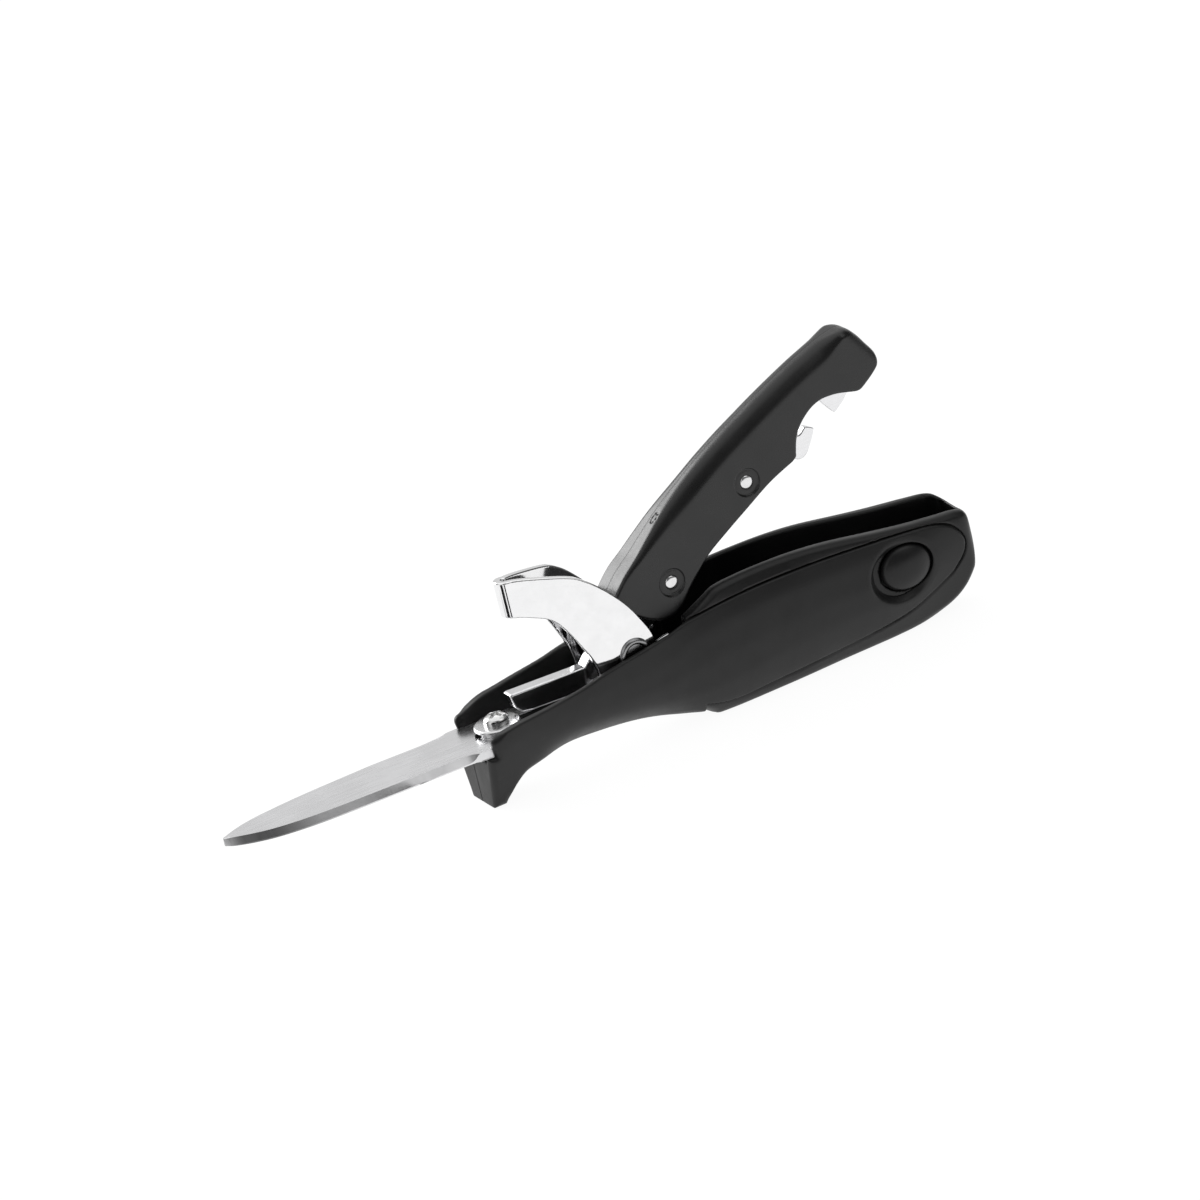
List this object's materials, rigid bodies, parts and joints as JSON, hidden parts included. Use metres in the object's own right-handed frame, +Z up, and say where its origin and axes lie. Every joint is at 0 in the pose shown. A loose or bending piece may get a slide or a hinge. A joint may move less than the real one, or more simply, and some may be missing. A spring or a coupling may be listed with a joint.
{
  "type": "lever shellfish opener",
  "caption": "One-hand shellfish opener: blade on an open handle, with a squeeze lever, cracking jaw under a steel loop, cap lifter and cross-bolt lock.",
  "frame": {"origin": "centre of the bounding box at its base, on the surface that the handle rests on", "axes": "+X from the blade tip to the rear of the handle, +Y to the far side, away from the cover that carries the raised lock button, +Z up"},
  "size_m": [0.2254, 0.0258, 0.086],
  "materials": {
    "nylon_black": "satin",
    "cover_black": "soft touch, matte",
    "plate_steel": "satin",
    "blade_steel": "fine satin with ground bevels",
    "washer_steel": "satin",
    "screw_steel": "plated",
    "stirrup_steel": "polished",
    "rivet_steel": "polished",
    "spring_steel": "bright wire",
    "core_steel": "polished",
    "scale_black": "fine satin",
    "bush_nylon": "satin",
    "button_black": "smooth matte"
  },
  "bodies": {
    "handle": {"handle_frame": "nylon_black", "handle_cover_near": "cover_black", "handle_cover_far": "cover_black", "chassis_plate": "plate_steel", "blade": "blade_steel", "blade_lock_washer": "washer_steel", "blade_washer": "washer_steel", "blade_screw": "screw_steel", "blade_nut": "screw_steel", "stirrup": "stirrup_steel", "pivot_rivet": "rivet_steel", "lever_stop_pin": "rivet_steel", "return_spring": "spring_steel", "cover_screw_front": "screw_steel", "cover_screws_rear": "screw_steel", "chassis_screws": "screw_steel"},
    "lever": {"lever_core": "core_steel", "cracker_jaw": "core_steel", "lever_scale_near": "scale_black", "lever_scale_far": "scale_black", "lever_rivets": "rivet_steel", "pivot_bush": "bush_nylon"},
    "lock": {"lock_bolt": "screw_steel", "lock_button_near": "button_black", "lock_button_far": "button_black"}
  },
  "joints": [
    {"name": "lever_hinge", "type": "hinge", "parent": "handle", "child": "lever", "pos_m": [0.00787, 0, 0.0262], "axis": [0, 1, 0], "range_deg": [0, 36], "stiffness_Nm_per_rad": 0.25, "springref_deg": -34.38},
    {"name": "lock_slide", "type": "slide", "parent": "handle", "child": "lock", "axis": [0, 1, 0], "range_m": [0, 0.0025]}
  ]
}
